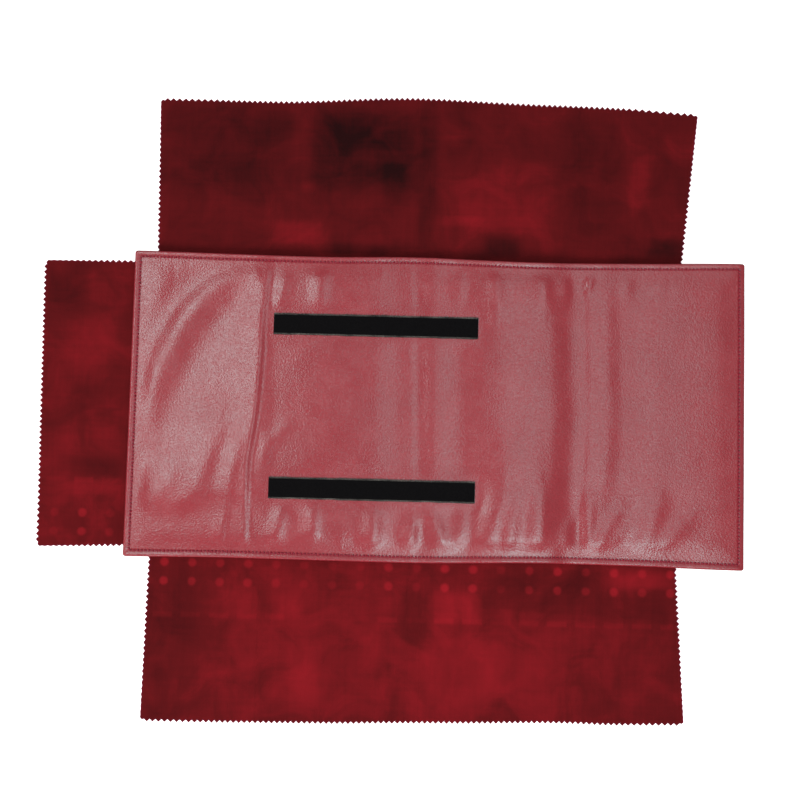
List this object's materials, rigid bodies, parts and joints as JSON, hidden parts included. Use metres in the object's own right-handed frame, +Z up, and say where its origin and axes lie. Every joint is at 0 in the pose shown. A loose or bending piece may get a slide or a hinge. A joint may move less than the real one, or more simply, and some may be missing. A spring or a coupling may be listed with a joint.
{
  "type": "jewelry roll",
  "caption": "Long padded leather panel that rolls up, with pinked velvet flaps, snap straps on its lining and hook-and-loop closing tapes.",
  "frame": {"origin": "centre of the bounding box on the surface that the open roll lies on", "axes": "+X along the panel towards the closing end, +Y towards the top flap, +Z up out of the leather"},
  "size_m": [0.6492, 0.574, 0.0138],
  "materials": {
    "leather": "semi-gloss grained imitation leather",
    "velvet": "short velvet pile",
    "lining": "short velvet pile",
    "strap": "velvet with pressed metal snaps",
    "tape": "woven hook-and-loop tape",
    "foam": "soft foam"
  },
  "bodies": {
    "base": {"cover_base": "leather", "padding_base": "foam", "lining_base": "lining", "loop_upper_base": "tape", "loop_lower_base": "tape"},
    "inner_spine": {"cover_inner_spine": "leather", "lining_inner_spine": "lining", "loop_upper_inner_spine": "tape", "loop_lower_inner_spine": "tape"},
    "middle": {"cover_middle": "leather", "padding_middle": "foam", "lining_middle": "lining", "loop_upper_middle": "tape", "loop_lower_middle": "tape"},
    "core": {"cover_core": "leather", "padding_core": "foam", "lining_core": "lining"},
    "outer_spine": {"cover_outer_spine": "leather", "lining_outer_spine": "lining"},
    "closing": {"cover_closing": "leather", "padding_closing": "foam", "lining_closing": "lining", "hook_upper": "tape", "hook_lower": "tape"},
    "top_flap_core": {"top_flap_core": "velvet"},
    "top_flap_middle": {"top_flap_middle": "velvet"},
    "top_flap_inner_spine": {"top_flap_inner_spine": "velvet"},
    "top_flap_base": {"top_flap_base": "velvet"},
    "top_flap_outer_spine": {"top_flap_outer_spine": "velvet"},
    "top_flap_closing": {"top_flap_closing": "velvet"},
    "bottom_flap_core": {"bottom_flap_core": "velvet"},
    "bottom_flap_middle": {"bottom_flap_middle": "velvet"},
    "bottom_flap_inner_spine": {"bottom_flap_inner_spine": "velvet"},
    "bottom_flap_base": {"bottom_flap_base": "velvet"},
    "bottom_flap_outer_spine": {"bottom_flap_outer_spine": "velvet"},
    "bottom_flap_closing": {"bottom_flap_closing": "velvet"},
    "left_flap": {"left_flap": "velvet"},
    "strap_core_1": {"strap_core_1": "strap"},
    "strap_core_2": {"strap_core_2": "strap"},
    "strap_core_3": {"strap_core_3": "strap"},
    "strap_core_4": {"strap_core_4": "strap"},
    "strap_middle_1": {"strap_middle_1": "strap"},
    "strap_middle_2": {"strap_middle_2": "strap"},
    "strap_middle_3": {"strap_middle_3": "strap"},
    "strap_middle_4": {"strap_middle_4": "strap"},
    "strap_middle_5": {"strap_middle_5": "strap"},
    "strap_base_1": {"strap_base_1": "strap"},
    "strap_base_2": {"strap_base_2": "strap"},
    "strap_base_3": {"strap_base_3": "strap"},
    "strap_base_4": {"strap_base_4": "strap"},
    "strap_base_5": {"strap_base_5": "strap"}
  },
  "joints": [
    {"name": "inner_spine_fold", "type": "hinge", "parent": "base", "child": "inner_spine", "pos_m": [0.03045, 0, -0.00015], "axis": [0, -1, 0], "range_deg": [0, 90]},
    {"name": "middle_fold", "type": "hinge", "parent": "inner_spine", "child": "middle", "pos_m": [0.01745, 0, -0.00015], "axis": [0, -1, 0], "range_deg": [0, 90]},
    {"name": "core_fold", "type": "hinge", "parent": "middle", "child": "core", "pos_m": [-0.11955, 0, -0.00015], "axis": [0, -1, 0], "range_deg": [0, 179.98]},
    {"name": "outer_spine_fold", "type": "hinge", "parent": "base", "child": "outer_spine", "pos_m": [0.16995, 0, -0.00015], "axis": [0, 1, 0], "range_deg": [0, 90]},
    {"name": "closing_fold", "type": "hinge", "parent": "outer_spine", "child": "closing", "pos_m": [0.19755, 0, -0.00015], "axis": [0, 1, 0], "range_deg": [0, 90]},
    {"name": "top_flap_base_hinge", "type": "hinge", "parent": "base", "child": "top_flap_base", "pos_m": [0.1002, 0.1395, 0.00115], "axis": [-1, 0, 0], "range_deg": [0, 179.98]},
    {"name": "top_flap_core_hinge", "type": "hinge", "parent": "core", "child": "top_flap_core", "pos_m": [-0.18205, 0.1395, 0.00115], "axis": [-1, 0, 0], "range_deg": [0, 179.98]},
    {"name": "top_flap_middle_hinge", "type": "hinge", "parent": "middle", "child": "top_flap_middle", "pos_m": [-0.05105, 0.1395, 0.00115], "axis": [-1, 0, 0], "range_deg": [0, 179.98]},
    {"name": "top_flap_inner_spine_hinge", "type": "hinge", "parent": "inner_spine", "child": "top_flap_inner_spine", "pos_m": [0.02395, 0.1395, 0.00115], "axis": [-1, 0, 0], "range_deg": [0, 179.98]},
    {"name": "top_flap_outer_spine_hinge", "type": "hinge", "parent": "outer_spine", "child": "top_flap_outer_spine", "pos_m": [0.18375, 0.1395, 0.00115], "axis": [-1, 0, 0], "range_deg": [0, 179.98]},
    {"name": "top_flap_closing_hinge", "type": "hinge", "parent": "closing", "child": "top_flap_closing", "pos_m": [0.26105, 0.1395, 0.00115], "axis": [-1, 0, 0], "range_deg": [0, 179.98]},
    {"name": "bottom_flap_base_hinge", "type": "hinge", "parent": "base", "child": "bottom_flap_base", "pos_m": [0.1002, -0.1395, 0.0005], "axis": [1, 0, 0], "range_deg": [0, 179.98]},
    {"name": "bottom_flap_core_hinge", "type": "hinge", "parent": "core", "child": "bottom_flap_core", "pos_m": [-0.18205, -0.1395, 0.0005], "axis": [1, 0, 0], "range_deg": [0, 179.98]},
    {"name": "bottom_flap_middle_hinge", "type": "hinge", "parent": "middle", "child": "bottom_flap_middle", "pos_m": [-0.05105, -0.1395, 0.0005], "axis": [1, 0, 0], "range_deg": [0, 179.98]},
    {"name": "bottom_flap_inner_spine_hinge", "type": "hinge", "parent": "inner_spine", "child": "bottom_flap_inner_spine", "pos_m": [0.02395, -0.1395, 0.0005], "axis": [1, 0, 0], "range_deg": [0, 179.98]},
    {"name": "bottom_flap_outer_spine_hinge", "type": "hinge", "parent": "outer_spine", "child": "bottom_flap_outer_spine", "pos_m": [0.18375, -0.1395, 0.0005], "axis": [1, 0, 0], "range_deg": [0, 179.98]},
    {"name": "bottom_flap_closing_hinge", "type": "hinge", "parent": "closing", "child": "bottom_flap_closing", "pos_m": [0.26105, -0.1395, 0.0005], "axis": [1, 0, 0], "range_deg": [0, 179.98]},
    {"name": "left_flap_hinge", "type": "hinge", "parent": "core", "child": "left_flap", "pos_m": [-0.24205, 0, 0.0018], "axis": [0, -1, 0], "range_deg": [0, 179.98]},
    {"name": "strap_core_1_hinge", "type": "hinge", "parent": "core", "child": "strap_core_1", "pos_m": [-0.21544, -0.069, 0.0061], "axis": [-1, 0, 0], "range_deg": [-120, 0]},
    {"name": "strap_core_2_hinge", "type": "hinge", "parent": "core", "child": "strap_core_2", "pos_m": [-0.18923, -0.069, 0.0061], "axis": [-1, 0, 0], "range_deg": [-120, 0]},
    {"name": "strap_core_3_hinge", "type": "hinge", "parent": "core", "child": "strap_core_3", "pos_m": [-0.16302, -0.069, 0.0061], "axis": [-1, 0, 0], "range_deg": [-120, 0]},
    {"name": "strap_core_4_hinge", "type": "hinge", "parent": "core", "child": "strap_core_4", "pos_m": [-0.13681, -0.069, 0.0061], "axis": [-1, 0, 0], "range_deg": [-120, 0]},
    {"name": "strap_middle_1_hinge", "type": "hinge", "parent": "middle", "child": "strap_middle_1", "pos_m": [-0.10253, -0.069, 0.0061], "axis": [-1, 0, 0], "range_deg": [-120, 0]},
    {"name": "strap_middle_2_hinge", "type": "hinge", "parent": "middle", "child": "strap_middle_2", "pos_m": [-0.07679, -0.069, 0.0061], "axis": [-1, 0, 0], "range_deg": [-120, 0]},
    {"name": "strap_middle_3_hinge", "type": "hinge", "parent": "middle", "child": "strap_middle_3", "pos_m": [-0.05105, -0.069, 0.0061], "axis": [-1, 0, 0], "range_deg": [-120, 0]},
    {"name": "strap_middle_4_hinge", "type": "hinge", "parent": "middle", "child": "strap_middle_4", "pos_m": [-0.02531, -0.069, 0.0061], "axis": [-1, 0, 0], "range_deg": [-120, 0]},
    {"name": "strap_middle_5_hinge", "type": "hinge", "parent": "middle", "child": "strap_middle_5", "pos_m": [0.00043, -0.069, 0.0061], "axis": [-1, 0, 0], "range_deg": [-120, 0]},
    {"name": "strap_base_1_hinge", "type": "hinge", "parent": "base", "child": "strap_base_1", "pos_m": [0.04772, -0.069, 0.0061], "axis": [-1, 0, 0], "range_deg": [-120, 0]},
    {"name": "strap_base_2_hinge", "type": "hinge", "parent": "base", "child": "strap_base_2", "pos_m": [0.07396, -0.069, 0.0061], "axis": [-1, 0, 0], "range_deg": [-120, 0]},
    {"name": "strap_base_3_hinge", "type": "hinge", "parent": "base", "child": "strap_base_3", "pos_m": [0.1002, -0.069, 0.0061], "axis": [-1, 0, 0], "range_deg": [-120, 0]},
    {"name": "strap_base_4_hinge", "type": "hinge", "parent": "base", "child": "strap_base_4", "pos_m": [0.12644, -0.069, 0.0061], "axis": [-1, 0, 0], "range_deg": [-120, 0]},
    {"name": "strap_base_5_hinge", "type": "hinge", "parent": "base", "child": "strap_base_5", "pos_m": [0.15268, -0.069, 0.0061], "axis": [-1, 0, 0], "range_deg": [-120, 0]}
  ],
  "couplings": [
    {"joint": "middle_fold", "follows": "inner_spine_fold", "ratio": 1},
    {"joint": "closing_fold", "follows": "outer_spine_fold", "ratio": 1},
    {"joint": "top_flap_core_hinge", "follows": "top_flap_base_hinge", "ratio": 1},
    {"joint": "top_flap_middle_hinge", "follows": "top_flap_base_hinge", "ratio": 1},
    {"joint": "top_flap_inner_spine_hinge", "follows": "top_flap_base_hinge", "ratio": 1},
    {"joint": "top_flap_outer_spine_hinge", "follows": "top_flap_base_hinge", "ratio": 1},
    {"joint": "top_flap_closing_hinge", "follows": "top_flap_base_hinge", "ratio": 1},
    {"joint": "bottom_flap_core_hinge", "follows": "bottom_flap_base_hinge", "ratio": 1},
    {"joint": "bottom_flap_middle_hinge", "follows": "bottom_flap_base_hinge", "ratio": 1},
    {"joint": "bottom_flap_inner_spine_hinge", "follows": "bottom_flap_base_hinge", "ratio": 1},
    {"joint": "bottom_flap_outer_spine_hinge", "follows": "bottom_flap_base_hinge", "ratio": 1},
    {"joint": "bottom_flap_closing_hinge", "follows": "bottom_flap_base_hinge", "ratio": 1}
  ]
}
